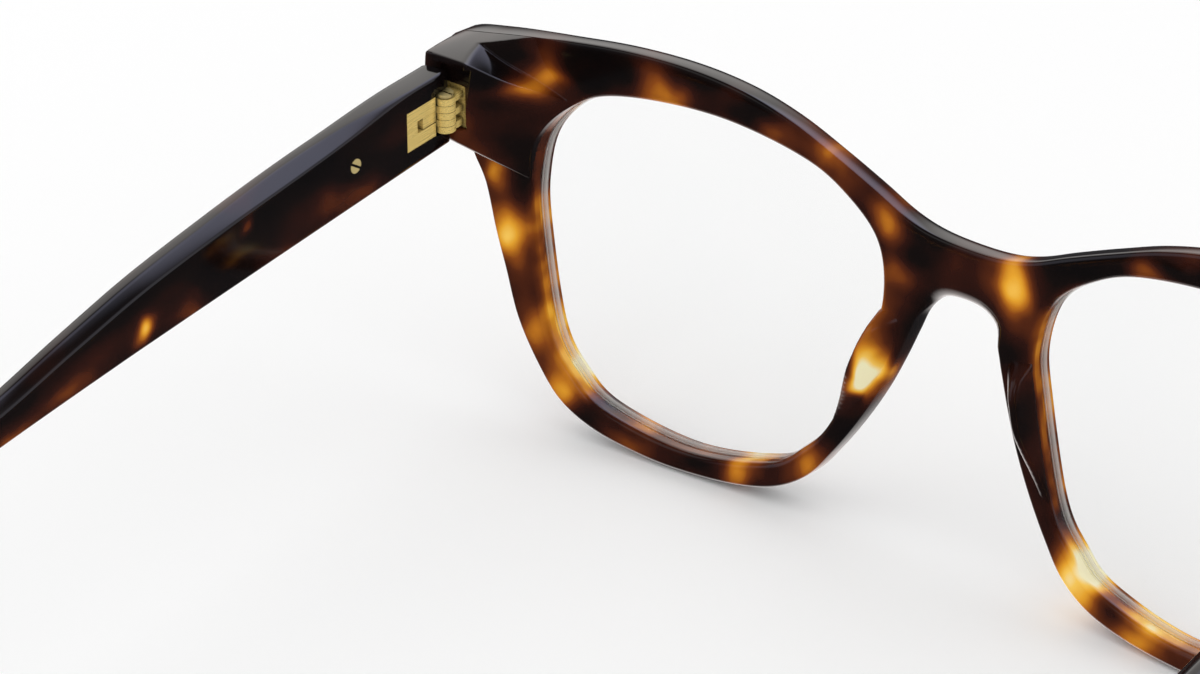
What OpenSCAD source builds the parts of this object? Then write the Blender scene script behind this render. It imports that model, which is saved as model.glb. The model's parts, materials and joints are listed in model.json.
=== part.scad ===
// Acetate spectacles with spring hinges, standing open on a table.
// Z = 0 is the table, X runs across the face (+X is the wearer's left), the temples run to +Y
// and X = 0 is the plane of symmetry. Every right-hand part is the mirror image of its left twin.

/* [Front] */
// Width of one lens opening
lens_w = 50.5; // [49:0.5:52]
// Height of one lens opening
lens_h = 45.3; // [44:0.1:46]
// Gap between the two lens openings
bridge_w = 21.6; // [20:0.2:23]
// Thickness of the acetate front
front_t = 4.4; // [4:0.1:4.8]
// Radius of the front's bend around the face
bend_r = 485; // [450:5:520]
// Lean of the front, its lower rims towards the face
front_tilt = 8; // [6:0.5:9]
// How far the nose pads stand out behind the rims
pad_depth = 4.6; // [3:0.1:5]

/* [Temples] */
// Length from the hinge to the tip, along the lower edge
temple_l = 145; // [140:1:150]
// Thickness at the hinge
temple_t = 3.8; // [3.6:0.1:4.2]
// Height at the hinge
temple_h = 10.4; // [9.8:0.1:10.8]
// Slope of the tip below level
ear_angle = 50; // [46:1:54]
// Radius of the bend over the ear, at the lower edge
ear_r = 30; // [26:1:34]

/* [Hinge] */
// Radius of the hinge screw
screw_r = 0.7; // [0.6:0.05:0.75]
// Running clearance of the screw in its leaves
screw_gap = 0.04; // [0.02:0.01:0.08]
// Thickness of one hinge leaf
leaf_t = 0.9; // [0.8:0.05:0.95]
// Gap between two hinge leaves
leaf_gap = 0.06; // [0.04:0.01:0.1]
// Outer radius of the hinge barrel
barrel_r = 1.35; // [1.2:0.05:1.4]
// How far a temple opens past straight, against its springs
over_open = 8; // [4:1:8]

/* [Hidden] */
// Working slack between parts that move past each other
slack = 0.12;
// Overlap that keeps a cut from ending on a face
bite = 0.5;

// Front: centre of the left opening, and where the front's own level line lies above the table
lens_cx = bridge_w / 2 + lens_w / 2;
front_z = 25.5;
lens_t = 1.5;
lens_y = -2.0;
groove = 0.6;
loop_steps = 4;

// Hinge: the end block's rear face, and the screw's axis
block_y = 9.7;
temple_x = 68.6;
temple_z = 39.0;
block_top = 50.85;
block_foot = 39.4;
step_d = 0.7;
screw_x = temple_x - 0.2;
screw_y = block_y + 1.2;
hinge_z = temple_z + temple_h / 2 - 0.2;
leaf_n = 5;
leaf_pitch = leaf_t + leaf_gap;
hinge_h = leaf_n * leaf_pitch - leaf_gap;
hinge_z0 = hinge_z - hinge_h / 2;
screw_head_r = 1.1;
screw_head_t = 0.45;

// Spring housing in the temple's inner face, with one spring bore in each arm
house_y = screw_y + barrel_r + 0.25;
house_l = 5.6;
house_h = 5.4;
house_t = 2.5;
tongue_h = 1.7;
arm_z = 1.72;
bore_x = temple_x + house_t / 2;
bore_r = 0.72;
bore_mouth_r = 0.44;
mouth_l = 0.6;
guide_r = 0.36;
guide_head_r = 0.62;
guide_head_l = 0.5;
guide_l = 4.1;
spring_wire_r = 0.09;
spring_r = 0.54;
spring_turns = 6;
spring_steps = 12;

// Temple: the straight stretch is as long as brings the rounded tip down onto the table
droop = 2;
tip_rise = 2.2;
temple_y = block_y + slack;
arc_l = ear_r * (ear_angle - droop) * PI / 180;
straight_l = ((temple_l - arc_l) * sin(ear_angle) + ear_r * (cos(droop) - cos(ear_angle))
    - temple_z - tip_rise * cos(ear_angle) - slack) / (sin(ear_angle) - sin(droop));
temple_stations = 58;

// Core: a flat tang behind the housing, then a round wire to the tip
tang_t = 1.2;
tang_h = 3.2;
tang_l = 14;
wire_r = 0.65;
wire_rise = 2.6;
core_x = bore_x;
temple_screw_y = 28.2;
temple_screw_r = 0.6;
temple_screw_head_r = 0.95;
core_gap = 0.05;

$fn = 32;

// ---------- Curves and outlines ----------

// Point at t between b and c of a smooth curve through a, b, c and d
function spline_pt(a, b, c, d, t) = 0.5 * (2 * b + (c - a) * t
    + (2 * a - 5 * b + 4 * c - d) * t * t + (3 * b - a - 3 * c + d) * t * t * t);

// Smooth closed curve through the points p, in n steps from each point to the next
function smooth_loop(p, n = loop_steps) = [for (i = [0:len(p) - 1], j = [0:n - 1])
    spline_pt(p[(i + len(p) - 1) % len(p)], p[i], p[(i + 1) % len(p)], p[(i + 2) % len(p)], j / n)];

// Value at x of a smooth curve through the [x, value] points of a table
function along(table, x) = let (n = len(table),
    i = max([for (k = [0:n - 2]) table[k][0] <= x ? k : 0]),
    t = min(1, max(0, (x - table[i][0]) / (table[i + 1][0] - table[i][0]))),
    a = table[max(0, i - 1)][1], d = table[min(n - 1, i + 2)][1])
    spline_pt(a, table[i][1], table[i + 1][1], d, t);

// Closed anticlockwise outline moved outwards by d
function grow(p, d) = [for (i = [0:len(p) - 1])
    let (a = p[(i + len(p) - 1) % len(p)], b = p[(i + 1) % len(p)], t = (b - a) / norm(b - a))
    p[i] + d * [t[1], -t[0]]];

// Outlines are given from the left opening's centre, for an opening of the nominal size,
// and follow the opening when its size changes.
function place(p) = [for (q = p) [lens_cx + q[0] * lens_w / 50.5, q[1] * lens_h / 45.3]];

opening = smooth_loop(place([[25.2, 7.0], [24.1, 13.8], [19.5, 19.2], [12.3, 21.7], [0, 22.6],
    [-11.8, 21.0], [-18.4, 18.2], [-23.6, 13.6], [-25.2, 6.8], [-23.8, 0], [-20.0, -11.7],
    [-16.4, -16.7], [-11.6, -20.3], [0, -22.7], [12.1, -21.0], [17.4, -17.5], [21.1, -12.2],
    [24.3, 0]]));

// Left half of the front's outer edge, from the arch over the nose round to the top of the bridge
half_edge = concat([[0, 9.3], [3.2, 8.7], [5.5, 6.3]],
    place([[-29.3, 2.9], [-27.9, -1.2], [-26.0, -6.0], [-23.4, -11.2], [-20.3, -16.3],
    [-17.2, -20.4], [-12.8, -23.3], [-6.6, -24.9], [1.0, -25.5], [7.0, -25.2], [13.4, -24.0],
    [18.4, -21.6], [22.0, -17.7], [25.6, -12.0], [28.0, -5.7], [29.8, -1.0], [32.0, 5.5],
    [35.0, 11.3], [37.3, 16.5], [38.4, 21.3], [37.2, 24.0], [32.0, 25.2], [23.0, 26.6],
    [14.0, 27.6], [5.0, 27.8], [-3.0, 27.0], [-10.0, 25.2], [-16.6, 22.6], [-22.2, 20.2]]),
    [[9.2, 18.1], [5.0, 17.0], [0, 16.7]]);
front_edge = smooth_loop(concat(half_edge,
    [for (i = [len(half_edge) - 2:-1:1]) [-half_edge[i][0], half_edge[i][1]]]), 3);

// Depth of the bent front's rear face at x, behind its depth at the middle
function bend(x) = bend_r - sqrt(bend_r * bend_r - x * x);

// A point of the leaning front in the part's own axes
function lean(p) = [p[0], p[1] * cos(front_tilt) - p[2] * sin(front_tilt),
    p[1] * sin(front_tilt) + p[2] * cos(front_tilt) + front_z];

// ---------- Shared shapes ----------

module left_to_right() mirror([1, 0, 0]) children();

// Solid through a row of rings that all have the same number of points
module loft(rings) {
    m = len(rings[0]);
    last = (len(rings) - 1) * m;
    sides = [for (i = [0:len(rings) - 2], j = [0:m - 1])
        [i * m + j, i * m + (j + 1) % m, (i + 1) * m + (j + 1) % m, (i + 1) * m + j]];
    polyhedron(points = [for (ring = rings, p = ring) p],
        faces = concat([for (s = sides) [s[0], s[1], s[2]]], [for (s = sides) [s[0], s[2], s[3]]],
        [[for (j = [m - 1:-1:0]) j]], [[for (j = [0:m - 1]) last + j]]), convexity = 6);
}

// Places its children on the leaning front
module on_front() translate([0, 0, front_z]) rotate([front_tilt, 0, 0]) children();

// Everything in front of the front's rear face moved by y
module ahead_of(y) on_front() translate([0, bend_r, 0]) difference() {
    cylinder(r = bend_r + 12, h = 90, center = true, $fn = 720);
    cylinder(r = bend_r - y, h = 91, center = true, $fn = 720);
}

// Sheet bent like the front, with the outline pts, from y0 forward to y1
module bent_plate(pts, y0, y1) on_front() intersection() {
    rotate([90, 0, 0]) linear_extrude(height = 60, center = true) polygon(pts);
    translate([0, bend_r, 0]) difference() {
        cylinder(r = bend_r - y1, h = 80, center = true, $fn = 720);
        cylinder(r = bend_r - y0, h = 81, center = true, $fn = 720);
    }
}

// Block between two corners
module block(a, b) translate(a) cube(b - a);

// Keeps what is above the table
module above_table() intersection() {
    children();
    block([-100, -20, 0], [100, 170, 70]);
}

// ---------- Front ----------

module front_frame() color("#3a1a0c") above_table() difference() {
    bent_plate(front_edge, 0, -front_t);
    for (side = [0, 1]) mirror([side, 0, 0]) {
        bent_plate(opening, 2, -front_t - 2);
        bent_plate(grow(opening, groove), lens_y + core_gap, lens_y - lens_t - core_gap);
    }
}

module left_lens() color("#dfe6e6", 0.35)
    bent_plate(grow(opening, groove - 0.05), lens_y, lens_y - lens_t);

// End block: flat-sided between the front and the hinge, with the lens opening cut through it.
// Its corners on the front are given as [x, z], and its rear face stands square to the temple.
block_rim = [[56.5, 18.6], [61.4, 7.2], [69.0, 7.8], [71.0, 11.3], [73.3, 16.5], [74.4, 21.3],
    [73.2, 23.9], [69.5, 23.9]];
block_rear = [[66.0, block_top], [67.6, block_foot], [72.3, block_foot], [72.3, block_top]];
module left_end_block() color("#2a130a") difference() {
    hull() loft([[for (p = block_rim) lean([p[0], bend(p[0]) - 1, p[1]])],
        [for (i = [0:7]) let (p = block_rear[floor(i / 2)]) [p[0], block_y, p[1]]]]);
    ahead_of(0);
    on_front() rotate([90, 0, 0]) linear_extrude(height = 60, center = true) polygon(opening);
    left_hinge_pocket();
}

// Pocket for the hinge's front half, and a shallow step beside it that is open to the inner side
module left_hinge_pocket() {
    block([screw_x - 1.7, block_y - 2.1, hinge_z0 - 0.5],
        [screw_x + 1.8, block_y + bite, hinge_z0 + hinge_h + 0.9]);
    block([screw_x - 9, block_y - step_d, hinge_z0 + 0.8],
        [screw_x + 1.8, block_y + bite, block_top - 0.5]);
}

// Nose pad: a crescent that rises behind the nose side of the rim.
// Along it, v runs from the bridge end to the lower end.
pad_steps = 14;
function pad_swell(v) = pow(sin(180 * pow(v, 0.66)), 0.8);
function pad_nose(v) = along([[0, 6.0], [0.25, 7.5], [0.5, 9.2], [0.75, 11.2], [1, 13.5]], v);
function pad_lens(v) = along([[0, 10.9], [0.25, 11.9], [0.5, 13.1], [0.75, 14.6], [1, 16.3]], v);
function pad_z(v) = 5.6 - 18.1 * v;
function pad_ring(v) = let (z = pad_z(v), a = pad_nose(v) + 0.3, b = pad_lens(v) - 0.1,
    h = 0.25 + pad_depth * pad_swell(v), c = b - 0.5 - 0.5 * pad_swell(v), y0 = bend(a) - 1)
    [for (p = [[a, y0], [b, y0], [b, y0 + 1.1], [b - 0.05, y0 + 1 + h * 0.75],
    [c + 0.25, y0 + 1 + h * 0.97], [c - 0.5, y0 + 1 + h], [c - 1.1, y0 + 1 + h * 0.86],
    [a * 0.45 + c * 0.55 - 0.7, y0 + 1 + h * 0.5], [a, y0 + 1.15]]) lean([p[0], p[1], z])];
module left_nose_pad() color("#6b3413") difference() {
    loft([for (k = [pad_steps:-1:0]) pad_ring(0.01 + 0.98 * k / pad_steps)]);
    ahead_of(0);
}

// ---------- Hinge ----------

// Hinge leaf number i, counted from the bottom, around the screw's axis
module barrel_leaf(i) translate([screw_x, screw_y, hinge_z0 + i * leaf_pitch])
    cylinder(r = barrel_r, h = leaf_t);
module screw_hole(gap) translate([screw_x, screw_y, hinge_z0 - bite])
    cylinder(r = screw_r + gap, h = hinge_h + 2 * bite);

// Front half: a plate sunk in the end block, with the three outer leaves
module left_front_hinge() color("#d9b44a") difference() {
    union() {
        block([screw_x - 1.6, block_y - 2.1, hinge_z0 - 0.4],
            [screw_x + 1.7, block_y - 1.1, hinge_z0 + hinge_h + 0.8]);
        for (i = [0:2:leaf_n - 1]) {
            barrel_leaf(i);
            block([screw_x - 1.0, block_y - 1.5, hinge_z0 + i * leaf_pitch],
                [screw_x + 1.0, screw_y, hinge_z0 + i * leaf_pitch + leaf_t]);
        }
    }
    screw_hole(0);
}

// The screw is tight in the front half's leaves, and the sliding half turns on it
module left_hinge_screw() color("#e3c468") difference() {
    union() {
        translate([screw_x, screw_y, hinge_z0 - 0.1]) cylinder(r = screw_r, h = hinge_h + 0.2);
        translate([screw_x, screw_y, hinge_z0 + hinge_h + 0.05])
            cylinder(r = screw_head_r, h = screw_head_t);
    }
    block([screw_x - 2, screw_y - 0.14, hinge_z0 + hinge_h + 0.3],
        [screw_x + 2, screw_y + 0.14, hinge_z0 + hinge_h + 1]);
}

// Sliding half: two leaves, a cross head and the tongue that runs between the housing's arms
module left_hinge_slider() color("#d9b44a") difference() {
    union() {
        for (i = [1:2:leaf_n - 1]) {
            barrel_leaf(i);
            block([screw_x - 0.1, screw_y, hinge_z0 + i * leaf_pitch],
                [temple_x + house_t - 0.4, house_y - 0.15, hinge_z0 + i * leaf_pitch + leaf_t]);
        }
        block([temple_x + 0.15, house_y - 0.75, hinge_z - arm_z - 0.62],
            [temple_x + house_t - 0.35, house_y - 0.15, hinge_z + arm_z + 0.62]);
        block([temple_x + 0.1, house_y - 0.2, hinge_z - tongue_h / 2 + slack / 2],
            [temple_x + 1.5, house_y + 2.4, hinge_z + tongue_h / 2 - slack / 2]);
    }
    screw_hole(screw_gap);
    front_leaf_room();
    for (s = [-1, 1]) translate([bore_x, house_y - 1, hinge_z + s * arm_z]) rotate([-90, 0, 0])
        cylinder(r = guide_r, h = 2);
}
// Room that the front half's leaves turn in
module front_leaf_room() for (i = [0:2:leaf_n - 1])
    translate([screw_x, screw_y, hinge_z0 + i * leaf_pitch - leaf_gap])
        cylinder(r = barrel_r + slack, h = leaf_t + 2 * leaf_gap);

// Guide pins: fixed in the cross head, with a head at the far end of each spring
module left_guide_pins() color("#c9c9c9") for (s = [-1, 1])
    translate([bore_x, house_y - 0.75, hinge_z + s * arm_z]) rotate([-90, 0, 0]) {
        cylinder(r = guide_r, h = guide_l + 0.75);
        translate([0, 0, guide_l + 0.75 - guide_head_l]) cylinder(r = guide_head_r, h = guide_head_l);
    }

// One coil spring around each guide pin, from the bore's shoulder to the pin's head
spring_y0 = house_y + mouth_l + 0.12;
spring_y1 = house_y + guide_l - guide_head_l - 0.12;
function coil_ring(k) = let (a = k * 360 / spring_steps,
    y = spring_y0 + (spring_y1 - spring_y0) * k / (spring_turns * spring_steps))
    [for (j = [0:5]) let (r = spring_r + spring_wire_r * cos(j * 60))
        [bore_x + r * cos(a), y + spring_wire_r * sin(j * 60), hinge_z + r * sin(a)]];
module left_hinge_springs() color("#b8b8b8") for (s = [-1, 1]) translate([0, 0, s * arm_z])
    loft([for (k = [0:spring_turns * spring_steps]) coil_ring(k)]);

module house_body(gap) block([temple_x - gap, house_y - gap, hinge_z - house_h / 2 - gap],
    [temple_x + house_t + gap, house_y + house_l + gap, hinge_z + house_h / 2 + gap]);

module left_spring_housing() color("#e0bc55") difference() {
    house_body(0);
    block([temple_x - bite, house_y - bite, hinge_z - tongue_h / 2],
        [temple_x + 1.6, house_y + 3.6, hinge_z + tongue_h / 2]);
    for (s = [-1, 1]) translate([bore_x, house_y, hinge_z + s * arm_z]) rotate([-90, 0, 0]) {
        translate([0, 0, -bite]) cylinder(r = bore_mouth_r, h = 2);
        translate([0, 0, mouth_l]) cylinder(r = bore_r, h = house_l - mouth_l - 0.5);
    }
}

// ---------- Temple ----------

// Lower edge of the temple at the length s from the hinge: [y, z, slope below level]
function lower_edge(s) = s < straight_l
    ? [temple_y + s * cos(droop), temple_z - s * sin(droop), droop]
    : let (y1 = temple_y + straight_l * cos(droop), z1 = temple_z - straight_l * sin(droop),
        a = min(ear_angle, droop + (s - straight_l) * 180 / PI / ear_r),
        rest = max(0, s - straight_l - arc_l))
        [y1 + ear_r * (sin(a) - sin(droop)) + rest * cos(a),
        z1 - ear_r * (cos(droop) - cos(a)) - rest * sin(a), a];

// Size of the temple's section at the length s
function section_h(s) = temple_h * along([[0, 1], [10, 1.03], [22, 1], [40, 0.94], [56, 0.84],
    [70, 0.67], [83, 0.5], [93, 0.47], [112, 0.58], [130, 0.68], [139, 0.63], [145, 0.36]],
    s * 145 / temple_l);
function section_t(s) = temple_t * along([[0, 1], [30, 0.97], [60, 0.86], [90, 0.76],
    [120, 0.84], [138, 0.82], [145, 0.5]], s * 145 / temple_l);
// Inward sway of the inner face, and the bevel along its upper edge
function sway(s) = along([[0, 0], [60, 0.3], [90, 1.2], [115, 3.4], [145, 7.0]], s * 145 / temple_l);
function bevel_h(s) = along([[0, 0.4], [8, 0.4], [18, 0.9], [30, 1.1], [90, 1.1],
    [120, 0.8], [145, 0.5]], s * 145 / temple_l);
function bevel_t(s) = along([[0, 0.4], [8, 0.4], [20, 1.8], [30, 2.2], [45, 1.7], [90, 1.4],
    [120, 0.8], [145, 0.5]], s * 145 / temple_l);
// How far the lower edge rounds up at the tip
function tip_lift(s) = let (u = max(0, s - temple_l + 6) / 6) tip_rise * u * u;

// Section as a ring: w across from the inner face, q up from the lower edge
function temple_ring(s) = let (e = lower_edge(s), h = section_h(s), t = section_t(s),
    bh = bevel_h(s), bt = bevel_t(s), lift = tip_lift(s), x0 = temple_x - sway(s))
    [for (p = [[0, 0.45], [0, h - bh], [bt * 0.5, h - bh * 0.42], [bt, h], [t - 0.9, h - 0.05],
    [t - 0.25, h - 0.35], [t, h - 1.0], [t, 0.8], [t - 0.3, 0.2], [t - 0.9, 0], [0.45, 0]])
    [x0 + p[0], e[0] + (p[1] + lift) * sin(e[2]), e[1] + (p[1] + lift) * cos(e[2])]];

module left_temple() color("#2e150a") above_table() difference() {
    loft([for (k = [0:temple_stations]) temple_ring(temple_l * k / temple_stations)]);
    house_body(core_gap);
    // Notch for the hinge leaves
    block([temple_x - bite, temple_y - bite, hinge_z0 - 0.45],
        [temple_x + house_t, house_y + 0.1, hinge_z0 + hinge_h + 0.75]);
    left_core(core_gap);
    left_temple_screw_shape(core_gap);
    // The end slants away from the end block, to leave room for opening past straight
    translate([screw_x + 0.8, temple_y, 0]) rotate([0, 0, over_open + 1])
        block([0, -2, temple_z - 1], [8, 0, block_top + 1]);
}

// Flat tang and round wire, at the height wire_rise above the lower edge
wire_z0 = temple_z + wire_rise;
tang_y = house_y + house_l;
module left_core(gap) {
    y1 = tang_y + tang_l;
    block([core_x - tang_t / 2 - gap, tang_y, hinge_z - tang_h / 2 - gap],
        [core_x + tang_t / 2 + gap, y1 + gap, hinge_z + tang_h / 2 + gap]);
    translate([core_x, y1 - 1, hinge_z]) rotate([-90 - wire_slope, 0, 0])
        cylinder(r = wire_r + gap, h = wire_len + 1);
}
// The wire runs straight from the tang to the start of the bend over the ear
wire_end = let (e = lower_edge(straight_l - 2)) [e[0], e[1] + wire_rise];
wire_slope = atan2(hinge_z - wire_end[1], wire_end[0] - tang_y - tang_l);
wire_len = norm([wire_end[0] - tang_y - tang_l, hinge_z - wire_end[1]]);

module left_core_wire() color("#b9b4a6") difference() {
    left_core(0);
    translate([temple_x - 1, temple_screw_y, hinge_z]) rotate([0, 90, 0])
        cylinder(r = temple_screw_r, h = 6);
}

// Slotted screw through the tang, seen on the temple's inner face
module left_temple_screw_shape(gap) translate([temple_x, temple_screw_y, hinge_z])
    rotate([0, 90, 0]) {
        translate([0, 0, -bite]) cylinder(r = temple_screw_head_r + gap, h = bite + 0.5 + gap);
        cylinder(r = temple_screw_r, h = 2.6);
    }
module left_temple_screw() color("#e6d38c") difference() {
    left_temple_screw_shape(0);
    block([temple_x - 2, temple_screw_y - 3, hinge_z - 3],
        [temple_x - 0.15, temple_screw_y + 3, hinge_z + 3]);
    translate([temple_x, temple_screw_y, hinge_z]) rotate([35, 0, 0])
        block([-1, -2, -0.16], [0.2, 2, 0.16]);
}

// ---------- The parts ----------

front_frame();
left_end_block();
left_to_right() left_end_block();  // right_end_block
left_nose_pad();
left_to_right() left_nose_pad();  // right_nose_pad
left_lens();
left_to_right() left_lens();  // right_lens
left_front_hinge();
left_to_right() left_front_hinge();  // right_front_hinge
left_hinge_screw();
left_to_right() left_hinge_screw();  // right_hinge_screw
left_hinge_slider();
left_to_right() left_hinge_slider();  // right_hinge_slider
left_spring_housing();
left_to_right() left_spring_housing();  // right_spring_housing
left_guide_pins();
left_to_right() left_guide_pins();  // right_guide_pins
left_hinge_springs();
left_to_right() left_hinge_springs();  // right_hinge_springs
left_temple();
left_to_right() left_temple();  // right_temple
left_core_wire();
left_to_right() left_core_wire();  // right_core_wire
left_temple_screw();
left_to_right() left_temple_screw();  // right_temple_screw
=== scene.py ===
import json
import math

import bmesh
import bpy
import numpy as np
from mathutils import Matrix, Vector, geometry


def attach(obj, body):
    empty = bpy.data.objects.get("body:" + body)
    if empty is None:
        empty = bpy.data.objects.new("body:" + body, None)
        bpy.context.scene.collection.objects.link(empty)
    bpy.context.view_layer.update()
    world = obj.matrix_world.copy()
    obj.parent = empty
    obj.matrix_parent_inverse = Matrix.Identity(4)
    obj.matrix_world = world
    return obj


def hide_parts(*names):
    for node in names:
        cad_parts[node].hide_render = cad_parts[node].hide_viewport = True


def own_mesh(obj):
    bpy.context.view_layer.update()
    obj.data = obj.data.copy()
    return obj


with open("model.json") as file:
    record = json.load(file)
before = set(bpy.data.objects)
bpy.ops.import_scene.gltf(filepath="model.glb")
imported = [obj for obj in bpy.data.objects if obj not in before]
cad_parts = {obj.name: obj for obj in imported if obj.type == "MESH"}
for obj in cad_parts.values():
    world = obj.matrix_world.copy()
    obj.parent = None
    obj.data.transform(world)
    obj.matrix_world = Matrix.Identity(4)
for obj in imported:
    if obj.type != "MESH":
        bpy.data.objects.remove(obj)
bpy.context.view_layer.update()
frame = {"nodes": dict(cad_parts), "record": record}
MM = 0.001

# ---------------------------------------------------------------- node helpers


def shader_tree(name):
    """A new material with one Principled shader."""
    material = bpy.data.materials.new(name)
    material.use_nodes = True
    tree = material.node_tree
    tree.nodes.clear()
    out = tree.nodes.new("ShaderNodeOutputMaterial")
    shader = tree.nodes.new("ShaderNodeBsdfPrincipled")
    tree.links.new(shader.outputs[0], out.inputs[0])
    return material, tree, shader


def add(tree, kind, **settings):
    """A new node with the given properties."""
    node = tree.nodes.new(kind)
    for key, value in settings.items():
        setattr(node, key, value)
    return node


def math_node(tree, operation, a, b=None, c=None):
    """A math node; a, b and c are sockets or numbers."""
    node = add(tree, "ShaderNodeMath", operation=operation)
    for i, value in enumerate((a, b, c)):
        if value is None:
            continue
        if isinstance(value, (int, float)):
            node.inputs[i].default_value = value
        else:
            tree.links.new(value, node.inputs[i])
    return node.outputs[0]


def ramp(tree, value, stops):
    """A colour ramp over value, from (place, colour) stops."""
    node = add(tree, "ShaderNodeValToRGB")
    elements = node.color_ramp.elements
    while len(elements) > 1:
        elements.remove(elements[-1])
    for i, (place, colour) in enumerate(stops):
        element = elements[0] if i == 0 else elements.new(place)
        element.position = place
        element.color = (*colour, 1)
    tree.links.new(value, node.inputs[0])
    return node.outputs[0]


def noise(tree, vector, scale, detail, roughness=0.5):
    node = add(tree, "ShaderNodeTexNoise")
    node.inputs["Scale"].default_value = scale
    node.inputs["Detail"].default_value = detail
    node.inputs["Roughness"].default_value = roughness
    tree.links.new(vector, node.inputs["Vector"])
    return node.outputs["Fac"]


# ---------------------------------------------------------------- camera, light and floor

SENSOR_MM, LENS_MM = 36, 152.031
CAMERA_PLACE, CAMERA_AIM = (-279.2, 440.35, 343.3), (52.6, 0, 12.0)

camera_data = bpy.data.cameras.new("camera")
camera_data.sensor_width = SENSOR_MM
camera_data.lens = LENS_MM
camera_data.clip_start = 0.01
camera = bpy.data.objects.new("camera", camera_data)
bpy.context.scene.collection.objects.link(camera)
camera.location = Vector(CAMERA_PLACE) * MM
look = Vector(CAMERA_AIM) * MM - camera.location
camera.rotation_euler = look.to_track_quat("-Z", "Y").to_euler()
bpy.context.scene.camera = camera
bpy.context.scene.view_settings.view_transform = "Standard"

FLOOR_SIZE, FLOOR_Z, FLOOR_SHADE = 3.0, -0.00002, 0.945
bpy.ops.mesh.primitive_grid_add(x_subdivisions=8, y_subdivisions=8, size=FLOOR_SIZE)
floor = bpy.context.object
floor.name = "floor"
floor.location.z = FLOOR_Z
floor.visible_glossy = False
floor_material, tree, shader = shader_tree("pale_floor")
shader.inputs["Base Color"].default_value = (FLOOR_SHADE, FLOOR_SHADE, FLOOR_SHADE, 1)
shader.inputs["Roughness"].default_value = 0.9
shader.inputs["Specular IOR Level"].default_value = 0.0
floor.data.materials.append(floor_material)

world = bpy.data.worlds.new("studio")
bpy.context.scene.world = world
world.use_nodes = True
tree = world.node_tree
tree.nodes.clear()
coordinates = add(tree, "ShaderNodeTexCoord")


def lobe(direction, inner, outer, colour):
    """A soft round light in the reflected surroundings, as a colour socket."""
    dot = add(tree, "ShaderNodeVectorMath", operation="DOT_PRODUCT")
    tree.links.new(coordinates.outputs["Generated"], dot.inputs[0])
    dot.inputs[1].default_value = Vector(direction).normalized()
    spread = add(tree, "ShaderNodeMapRange", interpolation_type="SMOOTHSTEP")
    tree.links.new(dot.outputs["Value"], spread.inputs["Value"])
    spread.inputs["From Min"].default_value = math.cos(math.radians(outer))
    spread.inputs["From Max"].default_value = math.cos(math.radians(inner))
    tint = add(tree, "ShaderNodeVectorMath", operation="SCALE")
    tint.inputs[0].default_value = colour
    tree.links.new(spread.outputs["Result"], tint.inputs["Scale"])
    return tint.outputs[0]


# Soft lights seen only in reflections: direction, inner and outer angle in degrees, colour
LOBES = (
    ((0.57, -0.66, 0.49), 14, 34, (1.5, 1.45, 1.4)),
    ((-0.04, -0.66, 0.75), 10, 26, (1.7, 1.75, 2.3)),
    ((0.45, -0.25, -0.85), 12, 42, (1.7, 1.6, 1.55)),
    ((-0.5, 0.5, 0.7), 6, 16, (0.5, 0.5, 0.6)),
    ((-0.7, -0.6, 0.4), 12, 30, (0.7, 0.7, 0.8)),
    ((0.8, 0.5, 0.35), 12, 30, (0.5, 0.5, 0.6)),
)
total = None
for settings in LOBES:
    light = lobe(*settings)
    if total is None:
        total = light
    else:
        both = add(tree, "ShaderNodeVectorMath", operation="ADD")
        tree.links.new(total, both.inputs[0])
        tree.links.new(light, both.inputs[1])
        total = both.outputs[0]
DIM_ROOM = (0.06, 0.06, 0.065)
ROOM_STRENGTH = 1.03
dim = add(tree, "ShaderNodeVectorMath", operation="ADD")
tree.links.new(total, dim.inputs[0])
dim.inputs[1].default_value = DIM_ROOM
reflected = add(tree, "ShaderNodeBackground")
tree.links.new(dim.outputs[0], reflected.inputs["Color"])
diffuse = add(tree, "ShaderNodeBackground")
diffuse.inputs["Color"].default_value = (1, 1, 1, 1)
diffuse.inputs["Strength"].default_value = ROOM_STRENGTH
rays = add(tree, "ShaderNodeLightPath")
switch = add(tree, "ShaderNodeMixShader")
tree.links.new(rays.outputs["Is Glossy Ray"], switch.inputs[0])
tree.links.new(diffuse.outputs[0], switch.inputs[1])
tree.links.new(reflected.outputs[0], switch.inputs[2])
out = add(tree, "ShaderNodeOutputWorld")
tree.links.new(switch.outputs[0], out.inputs[0])

KEY_SIZE, KEY_WATTS, KEY_PLACE = (0.6, 0.4), 0.3, (0.35, 0.35, 0.75)
key_data = bpy.data.lights.new("key_softbox", "AREA")
key_data.shape = "RECTANGLE"
key_data.size, key_data.size_y = KEY_SIZE
key_data.energy = KEY_WATTS
key = bpy.data.objects.new("key_softbox", key_data)
bpy.context.scene.collection.objects.link(key)
key.location = KEY_PLACE
key.rotation_euler = (-key.location).to_track_quat("-Z", "Y").to_euler()

# ---------------------------------------------------------------- materials

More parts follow.
